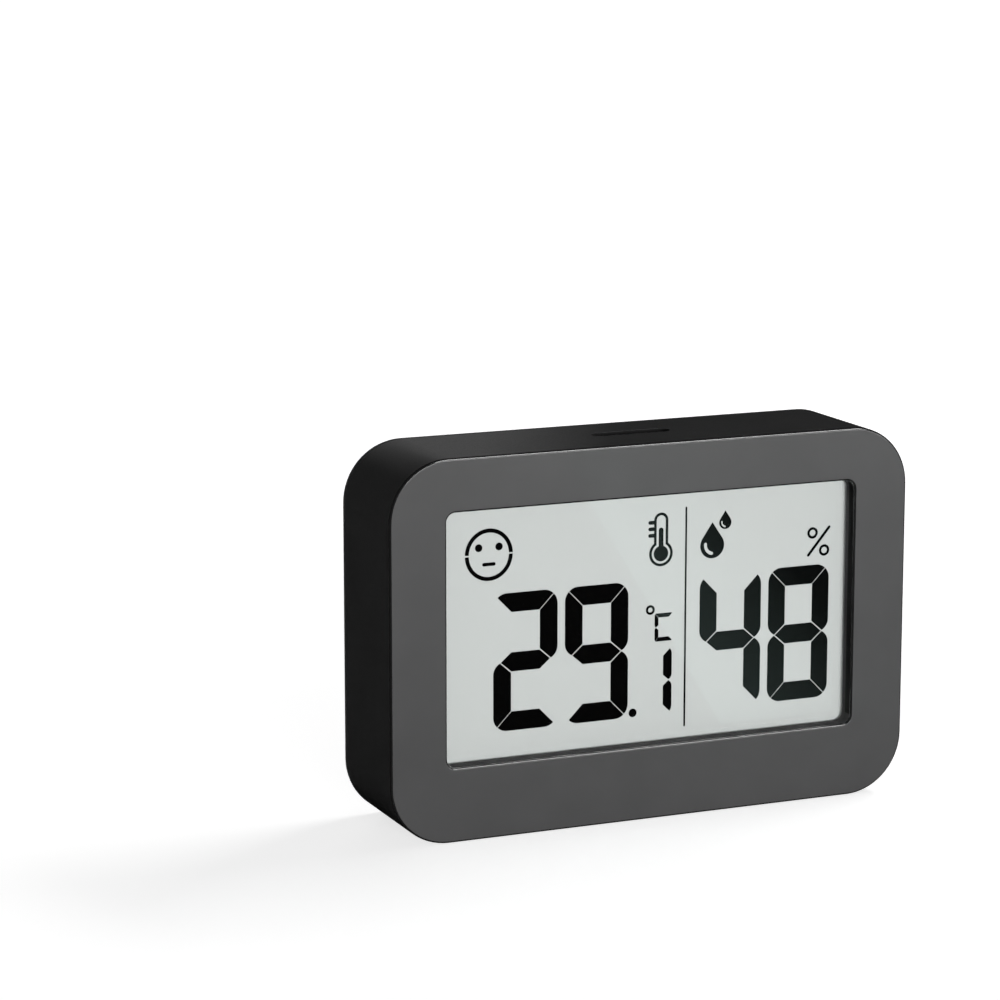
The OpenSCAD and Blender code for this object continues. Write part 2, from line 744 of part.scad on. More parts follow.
module switch_housing() {
    color([0.12, 0.12, 0.12]) difference() {
        union() {
            translate([button_x - switch_w / 2, y_board_back, mid_z - switch_w / 2])
                cube([switch_w, switch_h, switch_w]);
            for (sx = [-1, 1], sz = [-1, 1])
                translate([button_x + sx * switch_w / 2 - leg_w, y_board_back,
                    mid_z + sz * leg_pitch / 2 - leg_w / 2])
                    cube([2 * leg_w, strip_t, leg_w]);
        }
        rearward(button_x, y_switch_top - plunger_seat - plunger_room, mid_z)
            cylinder(r = plunger_r + button_play, h = switch_h);
    }
}

module switch_plunger() {
    color([0.1, 0.1, 0.1]) rearward(button_x, y_switch_top - plunger_seat, mid_z)
        cylinder(r = plunger_r, h = y_plunger_top - y_switch_top + plunger_seat);
}

module unit_button() {
    color([0.2, 0.2, 0.21]) rearward(button_x, 0, mid_z) rotate_extrude()
        polygon([[0, y_plunger_top], [plunger_r, y_plunger_top], [plunger_r, y_collar_front],
            [collar_r, y_collar_front], [collar_r, y_collar_back], [button_r, y_collar_back],
            [button_r, y_button_face - bevel], [button_r - bevel, y_button_face], [0, y_button_face]]);
}

// Battery, its contacts and its door

module coin_cell() {
    // The negative cap is narrower and faces the front; the can is crimped over its seal
    color(steel) rearward(0, y_cell_front, mid_z) rotate_extrude() polygon([[0, 0], [cap_r, 0],
        [cap_r, cap_h], [cell_r - cell_bevel, cap_h], [cell_r, cap_h + cell_bevel],
        [cell_r, cell_t - cell_bevel], [cell_r - cell_bevel, cell_t], [0, cell_t]]);
}

// Leaf spring on the floor of the well, with a leg down to the board
module battery_negative_contact() {
    leg_x = -cell_r + strip_t;
    color([0.8, 0.75, 0.55]) translate([0, 0, mid_z - strip_w / 2]) linear_extrude(strip_w) {
        translate([leg_x, y_board_back]) square([strip_t, y_well - y_board_back + strip_t]);
        translate([leg_x, y_well]) square([leaf_l, strip_t]);
        translate([leg_x, y_well])
            polygon([[leaf_l, 0], [2 * leaf_l, leaf_h - strip_t], [2 * leaf_l, leaf_h],
                [leaf_l - strip_t / 2, strip_t]]);
    }
}

// Strip that bears on the rim of the cell, with its foot on the board
module battery_positive_contact() {
    color([0.8, 0.75, 0.55]) translate([cell_r, y_board_back, mid_z - strip_w / 2])
        cube([strip_t, y_pocket - drop_gap - y_board_back, strip_w]);
}

module battery_door() {
    color(case_black) rearward(0, 0, mid_z) difference() {
        union() {
            rotate_extrude() polygon([[0, y_door_in], [skirt_r, y_door_in], [skirt_r, y_skirt],
                [door_r, y_skirt], [door_r, y_flange], [flange_r, y_flange],
                [flange_r, y_door_face - bevel], [flange_r - bevel, y_door_face], [0, y_door_face]]);
            for (i = [0:lug_count - 1])
                translate([0, 0, y_lug_front])
                    ring_sector((skirt_r + door_r) / 2, lug_r, lug_t, lug_at(i), lug_angle);
        }
        translate([0, 0, y_door_face - coin_slot_h]) linear_extrude(coin_slot_h + eps)
            stadium(coin_slot_l, coin_slot_w);
    }
}

// Fold-out stand: a U-shaped bail with a heel at each leg that stops the opening

module stand() {
    leg_x = (stand_w - stand_bar) / 2;
    clear_w = stand_w - 2 * stand_bar;
    clear_r = stand_r - stand_bar;
    reach = stand_reach(stand_pivot_z);
    y_round = y_stand_back - stand_edge_r;
    color(case_black) {
        slab(y_stand_front, y_round) stand_outline(0, stand_pivot_z);
        slab(y_round - eps, y_stand_back) stand_outline(-stand_edge_r, stand_pivot_z);
        // Rounded edges along the outside and the inside of the U
        intersection() {
            translate([0, y_round, stand_z + reach / 2]) rotate([-90, 0, 0]) {
                edge_ring(stand_w, reach, stand_r, stand_edge_r, 1, edge_lap);
                translate([0, -stand_bar, 0])
                    edge_ring(clear_w, reach, clear_r, stand_edge_r, -1, edge_lap);
            }
            translate([-stand_w, y_stand_front, 0]) cube([2 * stand_w, 2 * stand_t, stand_pivot_z]);
        }
        for (s = [-1, 1]) translate([s * leg_x, y_pivot, stand_pivot_z]) {
            rotate([0, 90, 0]) cylinder(r = stand_t / 2, h = stand_bar, center = true);
            translate([-stand_bar / 2, 0, 0]) cube([stand_bar, stand_t / 2, heel_l]);
            translate([s * (stand_bar + pin_l) / 2, 0, 0]) rotate([0, 90, 0])
                cylinder(r = pin_r, h = pin_l + 2 * eps, center = true);
        }
    }
}

front_shell();
rear_cover();
window_lens();
lens_adhesive();
lcd_front_polariser();
lcd_front_glass();
lcd_rear_glass();
lcd_reflector();
zebra_strip();
lcd_support_foam();
main_pcb();
controller_blob();
sensor_chip();
crystal();
chip_components();
pcb_screws();
switch_housing();
switch_plunger();
unit_button();
coin_cell();
battery_negative_contact();
battery_positive_contact();
battery_door();
stand();
magnets();
case_screws();
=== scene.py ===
"""Looks of a mini temperature and humidity display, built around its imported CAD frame.

The axes are the CAD's: +Z is up and the front faces -Y. Sizes of the part, the display and the camera are in
millimetres, and those of the stage in metres.
"""

import math
from collections import namedtuple

import bmesh
import bpy
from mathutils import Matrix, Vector


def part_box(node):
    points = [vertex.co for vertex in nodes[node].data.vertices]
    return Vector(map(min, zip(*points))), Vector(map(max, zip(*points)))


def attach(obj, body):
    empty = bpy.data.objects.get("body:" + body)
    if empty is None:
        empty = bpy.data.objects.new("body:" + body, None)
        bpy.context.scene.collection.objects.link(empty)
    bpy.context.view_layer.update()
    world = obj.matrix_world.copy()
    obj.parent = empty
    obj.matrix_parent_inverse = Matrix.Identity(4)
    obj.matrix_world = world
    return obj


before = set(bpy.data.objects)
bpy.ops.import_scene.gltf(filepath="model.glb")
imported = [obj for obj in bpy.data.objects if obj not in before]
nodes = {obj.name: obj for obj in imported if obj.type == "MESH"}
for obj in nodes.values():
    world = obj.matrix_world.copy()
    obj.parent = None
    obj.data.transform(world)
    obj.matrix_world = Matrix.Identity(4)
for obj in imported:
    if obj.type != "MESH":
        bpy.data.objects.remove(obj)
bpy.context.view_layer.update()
MM = 0.001
BLACK, WHITE = (0, 0, 0, 1), (1, 1, 1, 1)


# Node helpers for the materials

def principled(name, **values):
    """A new material with one Principled shader. The values are set on its own sockets."""
    made = bpy.data.materials.new(name)
    made.use_nodes = True
    tree = made.node_tree
    shader = tree.nodes["Principled BSDF"]
    for socket, value in values.items():
        shader.inputs[socket.replace("_", " ")].default_value = value
    return made, tree, shader


def add(tree, kind, **values):
    """A new node. Values name its properties or, with a capital letter, its input sockets."""
    node = tree.nodes.new("ShaderNode" + kind)
    for key, value in values.items():
        if key[0].isupper():
            node.inputs[key.replace("_", " ")].default_value = value
        else:
            setattr(node, key, value)
    return node


def place(tree, stretch=(1, 1, 1)):
    """Object coordinates in millimetres, stretched along the axes."""
    source = add(tree, "TexCoord")
    mapping = add(tree, "Mapping", Scale=[s / MM for s in stretch])
    tree.links.new(source.outputs["Object"], mapping.inputs["Vector"])
    return mapping.outputs["Vector"]


def noise(tree, size, detail=2.0, stretch=(1, 1, 1)):
    """Noise with features of that size in millimetres, from 0 to 1."""
    texture = add(tree, "TexNoise", Scale=1 / size, Detail=detail)
    tree.links.new(place(tree, stretch), texture.inputs["Vector"])
    return texture.outputs["Fac"]


def spread(tree, value, low, high, start=0.3, end=0.7):
    """Maps start to low and end to high. Without these two it maps a noise's middle range."""
    node = add(tree, "MapRange", From_Min=start, From_Max=end, To_Min=low, To_Max=high)
    tree.links.new(value, node.inputs["Value"])
    return node.outputs["Result"]


def blend_colours(tree, value, first, second):
    """Goes from the first colour to the second with the value."""
    node = add(tree, "ValToRGB")
    node.color_ramp.elements[0].color = (*first, 1)
    node.color_ramp.elements[1].color = (*second, 1)
    tree.links.new(value, node.inputs["Fac"])
    return node.outputs["Color"]


def relief(tree, shader, height, depth):
    """Raises the surface by up to depth millimetres where the pattern is high."""
    node = add(tree, "Bump", Strength=1.0, Distance=depth * MM)
    tree.links.new(height, node.inputs["Height"])
    tree.links.new(node.outputs["Normal"], shader.inputs["Normal"])


def scaled(colour, factor):
    """The colour, made darker or lighter."""
    return tuple(c * factor for c in colour)


def combine(tree, operation, first, second, **values):
    """A Math node on two values."""
    node = add(tree, "Math", operation=operation, **values)
    tree.links.new(first, node.inputs[0])
    tree.links.new(second, node.inputs[1])
    return node.outputs["Value"]


def where(tree, mask, plain, masked):
    """The plain value where the mask is 0 and the masked one, a number, where it is 1."""
    node = add(tree, "Mix")
    factor, first, second = node.inputs[0], node.inputs[2], node.inputs[3]
    tree.links.new(mask, factor)
    if isinstance(plain, float):
        first.default_value = plain
    else:
        tree.links.new(plain, first)
    second.default_value = masked
    return node.outputs[0]


def inside(tree, low, high):
    """1 inside the box between two corners in millimetres, 0 outside it."""
    axes = add(tree, "SeparateXYZ")
    tree.links.new(place(tree), axes.inputs["Vector"])
    within = []
    for axis, start, end in zip("XYZ", low, high):
        node = add(tree, "Math", operation="COMPARE")
        tree.links.new(axes.outputs[axis], node.inputs[0])
        node.inputs[1].default_value = (start + end) / 2
        node.inputs[2].default_value = (end - start) / 2
        within.append(node.outputs["Value"])
    return combine(tree, "MULTIPLY", combine(tree, "MULTIPLY", within[0], within[1]), within[2])


# Materials

COAT_ROUGHNESS = 0.08
# A box between two corners in millimetres, with its own share of the tone, roughness and coat. A share below one
# darkens the tone there as painted shade
Zone = namedtuple("Zone", "low high share rough coat")


def plastic(name, tone, rough, grain=0.14, depth=0.004, change=0.06, coat=0.0, zones=()):
    """Moulded plastic with the fine eroded grain of its tool and a slow change of tone along the flow."""
    made, tree, shader = principled(name, Coat_Weight=coat, Coat_Roughness=COAT_ROUGHNESS)
    flow = spread(tree, noise(tree, size=7.0, detail=3.0), 0, 1)
    grains = noise(tree, grain)
    colour = blend_colours(tree, flow, scaled(tone, 1 - change), scaled(tone, 1 + change))
    gloss = spread(tree, grains, low=rough - 0.05, high=rough + 0.06)
    cover = coat
    # Each zone darkens the tone inside its box, which paints shade there, and sets its own roughness and coat
    for zone in zones:
        mask = inside(tree, zone.low, zone.high)
        painted_shade = add(tree, "VectorMath", operation="SCALE")
        tree.links.new(colour, painted_shade.inputs[0])
        tree.links.new(where(tree, mask, 1.0, zone.share), painted_shade.inputs["Scale"])
        colour = painted_shade.outputs["Vector"]
        gloss = where(tree, mask, gloss, zone.rough)
        cover = where(tree, mask, cover, zone.coat)
    if zones:
        tree.links.new(cover, shader.inputs["Coat Weight"])
    tree.links.new(colour, shader.inputs["Base Color"])
    tree.links.new(gloss, shader.inputs["Roughness"])
    relief(tree, shader, grains, depth)
    return made


def window_clear():
    """Clear acrylic pane. Lamps shine through it, so the display behind is lit."""
    made, tree, shader = principled("window_clear", Base_Color=WHITE, IOR=1.49, Transmission_Weight=1.0)
    haze = noise(tree, size=6.0, detail=4.0)
    tree.links.new(spread(tree, haze, low=0.0, high=0.03), shader.inputs["Roughness"])
    path = add(tree, "LightPath")
    through = add(tree, "BsdfTransparent", Color=(0.97, 0.975, 0.975, 1))
    surface = shader.outputs["BSDF"]
    for ray in ("Is Diffuse Ray", "Is Shadow Ray"):
        choose = add(tree, "MixShader")
        tree.links.new(path.outputs[ray], choose.inputs["Fac"])
        tree.links.new(surface, choose.inputs[1])
        tree.links.new(through.outputs["BSDF"], choose.inputs[2])
        surface = choose.outputs["Shader"]
    tree.links.new(surface, tree.nodes["Material Output"].inputs["Surface"])
    return made


def film(name, tone, grain, rough, shine=0.2, depth=0.001):
    """Optical film with a faint sparkle grain."""
    made, tree, shader = principled(name, Specular_IOR_Level=shine)
    sparkle = noise(tree, grain, detail=1.0)
    colour = blend_colours(tree, sparkle, scaled(tone, 0.97), scaled(tone, 1.03))
    tree.links.new(colour, shader.inputs["Base Color"])
    tree.links.new(spread(tree, sparkle, low=0.8 * rough, high=1.2 * rough), shader.inputs["Roughness"])
    relief(tree, shader, sparkle, depth)
    return made


def display_glass():
    """Thin display glass with a green tint."""
    made, tree, shader = principled("display_glass", IOR=1.52, Transmission_Weight=0.9)
    streak = noise(tree, size=5.0, stretch=(0.2, 1, 1))
    colour = blend_colours(tree, streak, (0.72, 0.80, 0.77), (0.80, 0.86, 0.84))
    tree.links.new(colour, shader.inputs["Base Color"])
    tree.links.new(spread(tree, streak, low=0.02, high=0.08), shader.inputs["Roughness"])
    return made


def metal(name, tone, rough, streak=(1, 1, 1), bare=1.0):
    """Plated or rolled metal with drawing marks along one axis. Less bare metal is blackened."""
    made, tree, shader = principled(name, Metallic=bare)
    marks = noise(tree, size=0.25, detail=4.0, stretch=streak)
    colour = blend_colours(tree, marks, scaled(tone, 0.85), tone)
    tree.links.new(colour, shader.inputs["Base Color"])
    tree.links.new(spread(tree, marks, low=rough - 0.08, high=rough + 0.12), shader.inputs["Roughness"])
    relief(tree, shader, marks, depth=0.003)
    return made


STRIPE_SCALE = 5.0


def rubber_stripes():
    """Silicone strip with its conductive layers, a fine stripe about every 0.06 mm."""
    made, tree, shader = principled("zebra_rubber", Roughness=0.6)
    wave = add(tree, "TexWave", bands_direction="X", Scale=STRIPE_SCALE)
    tree.links.new(place(tree), wave.inputs["Vector"])
    colour = blend_colours(tree, wave.outputs["Fac"], (0.03, 0.03, 0.03), (0.62, 0.33, 0.36))
    tree.links.new(colour, shader.inputs["Base Color"])
    relief(tree, shader, wave.outputs["Fac"], depth=0.004)
    return made


FOAM_CELL = 0.12


def cell_foam(name, tone):
    """Soft tape or foam with open cells."""
    made, tree, shader = principled(name, Specular_IOR_Level=0.15)
    cells = add(tree, "TexVoronoi", Scale=1 / FOAM_CELL)
    tree.links.new(place(tree), cells.inputs["Vector"])
    distance = cells.outputs["Distance"]
    tree.links.new(blend_colours(tree, distance, scaled(tone, 0.5), tone), shader.inputs["Base Color"])
    tree.links.new(spread(tree, distance, low=0.75, high=0.95), shader.inputs["Roughness"])
    relief(tree, shader, distance, depth=0.02)
    return made


RUN_PITCH = 3.0


def circuit_board():
    """Green solder mask over copper runs."""
    made, tree, shader = principled("board", Coat_Weight=0.3)
    runs = add(tree, "TexBrick", Scale=1 / RUN_PITCH, Mortar_Size=0.03, Mortar=WHITE,
               Color1=BLACK, Color2=(0.2, 0.2, 0.2, 1))
    turned = add(tree, "Mapping", Rotation=(math.pi / 2, 0, 0))
    tree.links.new(place(tree), turned.inputs["Vector"])
    tree.links.new(turned.outputs["Vector"], runs.inputs["Vector"])
    colour = blend_colours(tree, runs.outputs["Color"], (0.01, 0.10, 0.05), (0.03, 0.22, 0.10))
    tree.links.new(colour, shader.inputs["Base Color"])
    tree.links.new(spread(tree, noise(tree, size=0.5), low=0.3, high=0.45), shader.inputs["Roughness"])
    relief(tree, shader, runs.outputs["Color"], depth=0.02)
    return made


CHARCOAL = (0.0645, 0.0645, 0.0655)
COAT = 0.6

# Places on the front shell: depths from the face inwards, the window's edges, and a box past the whole shell
FACE_Y, RADIUS_Y, WALL_Y, FOOT_Y = -6.943, -6.69, -5.70, -5.0
WINDOW_X, WINDOW_LOW, SILL_TOP, WINDOW_HIGH = 23.97, 7.95, 9.0, 35.27
PAST_X, PAST_LOW, PAST_HIGH = 31, -1, 42
VENT_LOW, VENT_HIGH = (-4.3, -0.92, 37.0), (4.9, 1.12, 40.68)
FRONT_PAINTED_SHADE_ZONES = (
    # The polished radius round the face. Its smoothness is real; its tone darkened to a fifth is painted shade
    # along the edge
    Zone((-PAST_X, FACE_Y, PAST_LOW), (PAST_X, RADIUS_Y, PAST_HIGH), share=0.2, rough=0.15, coat=COAT),
    # Painted shade in the window: its matt sides darkened most, its sill and the foot of its walls less
    Zone((-WINDOW_X, RADIUS_Y, SILL_TOP), (WINDOW_X, WALL_Y, WINDOW_HIGH), share=0.06, rough=1.0, coat=0.0),
    Zone((-WINDOW_X, RADIUS_Y, WINDOW_LOW), (WINDOW_X, WALL_Y, SILL_TOP), share=0.6, rough=1.0, coat=0.0),
    Zone((-WINDOW_X, WALL_Y, WINDOW_LOW), (WINDOW_X, FOOT_Y, WINDOW_HIGH), share=0.8, rough=1.0, coat=0.0),
    # Painted shade on the matt sides of the vent slot
    Zone(VENT_LOW, VENT_HIGH, share=0.25, rough=1.0, coat=0.0),
)
COARSE = {"grain": 0.22, "depth": 0.010, "change": 0.08}
looks = {
    "front_shell": plastic("case_plastic", CHARCOAL, rough=0.36, coat=COAT, zones=FRONT_PAINTED_SHADE_ZONES),
    # The rear cover's tone is lighter than the front's, as painted light on the band of its rim
    "rear_cover": plastic("cover_plastic", scaled(CHARCOAL, 1.15), rough=0.42, **COARSE),
    "battery_door": plastic("door_plastic", CHARCOAL, rough=0.45, **COARSE),
    "stand": plastic("stand_plastic", scaled(CHARCOAL, 0.95), rough=0.36),
    "unit_button": plastic("button_plastic", scaled(CHARCOAL, 1.5), rough=0.38),
    "window_lens": window_clear(),
    "lens_adhesive": cell_foam("bond_grey", (0.28, 0.28, 0.28)),
    "lcd_front_polariser": film("polariser_film", (0.704, 0.730, 0.713), grain=0.08, rough=0.03,
                                shine=0.5, depth=0.00002),
    "lcd_reflector": film("reflector_film", (0.70, 0.72, 0.70), grain=0.05, rough=0.40),
    "zebra_strip": rubber_stripes(),
    "lcd_support_foam": cell_foam("foam", (0.06, 0.06, 0.065)),
    "main_pcb": circuit_board(),
    "controller_blob": plastic("resin", (0.012, 0.012, 0.013), rough=0.25, grain=0.6, depth=0.01),
    "crystal": metal("metal", (0.78, 0.78, 0.77), rough=0.25, streak=(0.1, 1, 1)),
    "chip_components": plastic("chip_ceramic", (0.30, 0.20, 0.12), rough=0.55, grain=0.1),
    "coin_cell": metal("cell_steel", (0.80, 0.80, 0.79), rough=0.28, streak=(0.15, 1, 1)),
    "magnets": metal("magnet_plating", (0.74, 0.74, 0.72), rough=0.18),
}
looks["lcd_front_glass"] = looks["lcd_rear_glass"] = display_glass()
looks["sensor_chip"] = looks["controller_blob"]
looks["pcb_screws"] = looks["case_screws"] = metal("screw_steel", (0.22, 0.22, 0.23), rough=0.35, bare=0.5)
looks["switch_housing"] = looks["switch_plunger"] = plastic("switch_plastic", (0.02, 0.02, 0.02), rough=0.4)
spring = metal("spring_metal", (0.83, 0.76, 0.55), rough=0.3, streak=(1, 1, 0.1))
looks["battery_negative_contact"] = looks["battery_positive_contact"] = spring

for node, made in looks.items():
    nodes[node].data.materials.clear()
    nodes[node].data.materials.append(made)


# Outlines on the display, in millimetres from the display's middle, X to the right and Z up

ARC_STEP = math.radians(6)


def arc(centre, radius, start, end):
    """Points along an arc between two angles in degrees. A pair of radii makes it elliptic."""
    first, last = math.radians(start), math.radians(end)
    count = max(2, math.ceil(abs(last - first) / ARC_STEP))
    angles = [first + (last - first) * i / count for i in range(count + 1)]
    rx, rz = radius if isinstance(radius, tuple) else (radius, radius)
    return [(centre[0] + rx * math.cos(a), centre[1] + rz * math.sin(a)) for a in angles]


def loop(centre, radius):
    """A full circle without a doubled end."""
    return arc(centre, radius, 0, 360)[:-1]


def ring(centre, radius, stroke):
    """A circle with the hole in it."""
    return [loop(centre, radius), loop(centre, radius - stroke)]


def arc_band(centre, outer, inner, start, end):
    """A stretch of a ring, cut square at both ends."""
    return arc(centre, outer, start, end) + arc(centre, inner, end, start)


def capsule(first, second, width):
    """A straight stroke with round ends."""
    turn = math.degrees(math.atan2(second[1] - first[1], second[0] - first[0]))
    return arc(second, width / 2, turn - 90, turn + 90) + arc(first, width / 2, turn + 90, turn + 270)


def curved_capsule(centre, radius, width, start, end):
    """A stroke along an arc, with round ends."""
    line = arc(centre, radius, start, end)
    return (arc(centre, radius + width / 2, start, end)
            + arc(line[-1], width / 2, end, end + 180)[1:-1]
            + arc(centre, radius - width / 2, end, start)
            + arc(line[0], width / 2, start + 180, start + 360)[1:-1])


def drop(centre, radius, tip_height):
    """A drop: a circle with two tangents that meet at its tip."""
    lean = math.degrees(math.asin(radius / tip_height))
    return [(centre[0], centre[1] + tip_height)] + arc(centre, radius, 180 - lean, 360 + lean)


def thermometer(bulb, bulb_radius, tube_radius, top):
    """Outline of a tube with a round top that stands on a round bulb."""
    lean = math.degrees(math.asin(tube_radius / bulb_radius))
    tube_end = (bulb[0], top - tube_radius)
    return arc(bulb, bulb_radius, 90 + lean, 450 - lean) + arc(tube_end, tube_radius, 0, 180)


class Digit:
    """Seven-segment digit whose bars are mitred, with round outer corners and a narrow waist."""

    # Shares of a side bar's width: where its waist's tip and the middle bar's tip lie, and the waist's radius
    WAIST_TIP, MIDDLE_TIP, WAIST_RADIUS = 0.38, 0.43, 0.69

    def __init__(self, width, height, stroke, side, corner, gap):
        self.width, self.height, self.stroke, self.side, self.corner = width, height, stroke, side, corner
        self.step = gap / math.sqrt(2)

    def top_bar(self):
        """The bar at the top, with half of each rounded corner."""
        w, h, t, s, r, k = self.width, self.height, self.stroke, self.side, self.corner, self.step
        tip = 135 - math.degrees(math.asin(k / (math.sqrt(2) * r)))
        return (arc((w - r, h - r), r, 180 - tip, 90) + arc((r, h - r), r, 90, tip)
                + [(s + k, h - t), (w - s - k, h - t)])

    def side_bar(self):
        """The upper bar on the left, from the corner down to the waist."""
        h, t, s, r, k = self.height, self.stroke, self.side, self.corner, self.step
        tip = 135 + math.degrees(math.asin(k / (math.sqrt(2) * r)))
        x, z, hip = self.WAIST_TIP * s, h / 2 + k, self.WAIST_RADIUS * s
        turn = math.acos(1 - x / hip)
        waist = arc((hip, z + hip * math.sin(turn)), hip, 180, 180 + math.degrees(turn))
        rise = t / 2 / (s * (1 - self.MIDDLE_TIP))
        return arc((r, h - r), r, tip, 180) + waist + [(s, z + (s - x) * rise), (s, h - t - k)]

    def middle_bar(self):
        """The bar across the waist, pointed at both ends."""
        w, h, t, s, k = self.width, self.height, self.stroke, self.side, self.step / 2
        left = [(s + k, h / 2 + t / 2), (self.MIDDLE_TIP * s, h / 2), (s + k, h / 2 - t / 2)]
        return left + [(w - x, h - z) for x, z in left]

    def bars(self, letters, corner):
        """Outlines of the bars named a to g, clockwise from the top with g in the middle."""
        flip = {"a": (0, 0), "d": (0, 1), "f": (0, 0), "b": (1, 0), "e": (0, 1), "c": (1, 1), "g": (0, 0)}
        shape = {"a": self.top_bar, "d": self.top_bar, "g": self.middle_bar}
        made = []
        for letter in letters:
            across, down = flip[letter]
            points = shape.get(letter, self.side_bar)()
            points = [(self.width - x if across else x, self.height - z if down else z) for x, z in points]
            made.append([[(corner[0] + x, corner[1] + z) for x, z in points]])
        return made


# Display: the dark segments lie on the front polariser, behind the window

film_low, film_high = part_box("lcd_front_polariser")
display_middle = (film_low + film_high) / 2
INK_THICKNESS = 0.035
INK_SINK = 0.005
lcd_ink = film("lcd_ink", (0.002, 0.002, 0.002), grain=0.06, rough=0.7, shine=0.0)


def plate(name, shapes):
    """A thin dark solid from flat shapes on the display. Each shape is a list of loops, the later ones holes."""
    mesh = bpy.data.meshes.new(name)
    flat = bmesh.new()
    for loops in shapes:
        edges = []
        for points in loops:
            corners = [flat.verts.new((x * MM, 0, z * MM)) for x, z in points]
            edges += [flat.edges.new((a, b)) for a, b in zip(corners, corners[1:] + corners[:1])]
        bmesh.ops.triangle_fill(flat, use_beauty=True, use_dissolve=False, edges=edges)
    bmesh.ops.recalc_face_normals(flat, faces=flat.faces)
    extruded = bmesh.ops.extrude_face_region(flat, geom=flat.faces[:])["geom"]
    front = [v for v in extruded if isinstance(v, bmesh.types.BMVert)]
    bmesh.ops.translate(flat, verts=front, vec=(0, -INK_THICKNESS * MM, 0))
    bmesh.ops.recalc_face_normals(flat, faces=flat.faces)
    flat.to_mesh(mesh)
    flat.free()
    made = bpy.data.objects.new(name, mesh)
    bpy.context.scene.collection.objects.link(made)
    made.location = (display_middle.x, film_low.y + INK_SINK * MM, display_middle.z)
    mesh.materials.append(lcd_ink)
    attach(made, "case")


# Digits: 29.1 on the left and 48 on the right
BIG = Digit(width=7.34, height=14.80, stroke=2.05, side=2.02, corner=1.55, gap=0.08)
BIG_Z = -10.78
TEMPERATURE_X, HUMIDITY_X = (-17.55, -9.35), (6.42, 14.66)
two, nine = BIG.bars("abged", (TEMPERATURE_X[0], BIG_Z)), BIG.bars("abcdfg", (TEMPERATURE_X[1], BIG_Z))
four, eight = BIG.bars("fgbc", (HUMIDITY_X[0], BIG_Z)), BIG.bars("abcdefg", (HUMIDITY_X[1], BIG_Z))
plate("lcd_temperature_digits", two + nine)
plate("lcd_humidity_digits", four + eight)

SMALL = Digit(width=3.44, height=7.46, stroke=1.0, side=1.02, corner=0.9, gap=0.08)
TENTHS = (-0.28, -10.81)
POINT, POINT_RADIUS = (-1.41, -10.315), 0.465
plate("lcd_tenths_digit", SMALL.bars("bc", TENTHS))
plate("lcd_decimal_point", [[loop(POINT, POINT_RADIUS)]])

# Degree sign and the letter of its unit
UNIT = Digit(width=2.11, height=3.06, stroke=0.45, side=0.43, corner=0.22, gap=0.03)
UNIT_CORNER = (1.11, -2.77)
DEGREE, DEGREE_RADIUS, DEGREE_STROKE = (0.58, 0.745), 0.525, 0.26
plate("lcd_degree_unit", [ring(DEGREE, DEGREE_RADIUS, DEGREE_STROKE)] + UNIT.bars("afed", UNIT_CORNER))

# Comfort icon: a plain face in a ring of two halves
FACE = (-18.035, 8.29)
FACE_OUTER, FACE_INNER, FACE_GAP = (2.70, 2.78), (2.27, 2.35), 1.8
EYE_X, EYE_Z, EYE_RADIUS = 1.15, 0.79, 0.41
MOUTH_X, MOUTH_Z, MOUTH_W = 0.57, -1.015, 0.37
face_shapes = [[arc_band(FACE, FACE_OUTER, FACE_INNER, side + FACE_GAP, side + 180 - FACE_GAP)]
               for side in (0, 180)]
face_shapes += [[loop((FACE[0] + x, FACE[1] + EYE_Z), EYE_RADIUS)] for x in (-EYE_X, EYE_X)]
mouth = [(FACE[0] + x, FACE[1] + MOUTH_Z) for x in (-MOUTH_X, MOUTH_X)]
face_shapes.append([capsule(*mouth, MOUTH_W)])
plate("lcd_comfort_icon", face_shapes)

# Thermometer icon: an outline, its filling and three ticks
BULB = (1.775, 6.78)
BULB_RADIUS, TUBE_RADIUS, TUBE_TOP, OUTLINE = 1.38, 0.825, 11.21, 0.29
FILL_BULB, FILL_TUBE, FILL_TOP = 0.845, 0.27, 9.58
TICKS, TICK_TOP, TICK_PITCH, TICK_REACH, TICK_W = 3, 10.19, 0.7025, 1.30, 0.40
thermometer_shapes = [
    [thermometer(BULB, BULB_RADIUS, TUBE_RADIUS, TUBE_TOP),
     thermometer(BULB, BULB_RADIUS - OUTLINE, TUBE_RADIUS - OUTLINE, TUBE_TOP - OUTLINE)],
    [thermometer(BULB, FILL_BULB, FILL_TUBE, FILL_TOP)],
]
for tick in range(TICKS):
    height = TICK_TOP - TICK_PITCH * tick
    ends = (BULB[0] - TICK_REACH, height), (BULB[0] - TUBE_RADIUS, height)
    thermometer_shapes.append([capsule(*ends, TICK_W)])
plate("lcd_thermometer_icon", thermometer_shapes)

DIVIDER_X, DIVIDER_LOW, DIVIDER_HIGH, DIVIDER_W = 4.725, -12.33, 11.52, 0.20
plate("lcd_divider", [[capsule((DIVIDER_X, DIVIDER_LOW), (DIVIDER_X, DIVIDER_HIGH), DIVIDER_W)]])

# Humidity icon: a large and a small drop, each with a shine on its left
DROPS = (((7.835, 7.17), 1.41, 2.51), ((9.37, 9.55), 0.72, 1.30))
SHINE_X, SHINE_Z, SHINE_RADIUS, SHINE_W = 0.11, 0.05, 0.68, 0.25
SHINE_START, SHINE_END = 174, 257
drop_shapes = []
for centre, radius, tip in DROPS:
    middle = (centre[0] + SHINE_X * radius, centre[1] + SHINE_Z * radius)
    shine = curved_capsule(middle, SHINE_RADIUS * radius, SHINE_W * radius, SHINE_START, SHINE_END)
    drop_shapes.append([drop(centre, radius, tip), shine])
plate("lcd_humidity_icon", drop_shapes)

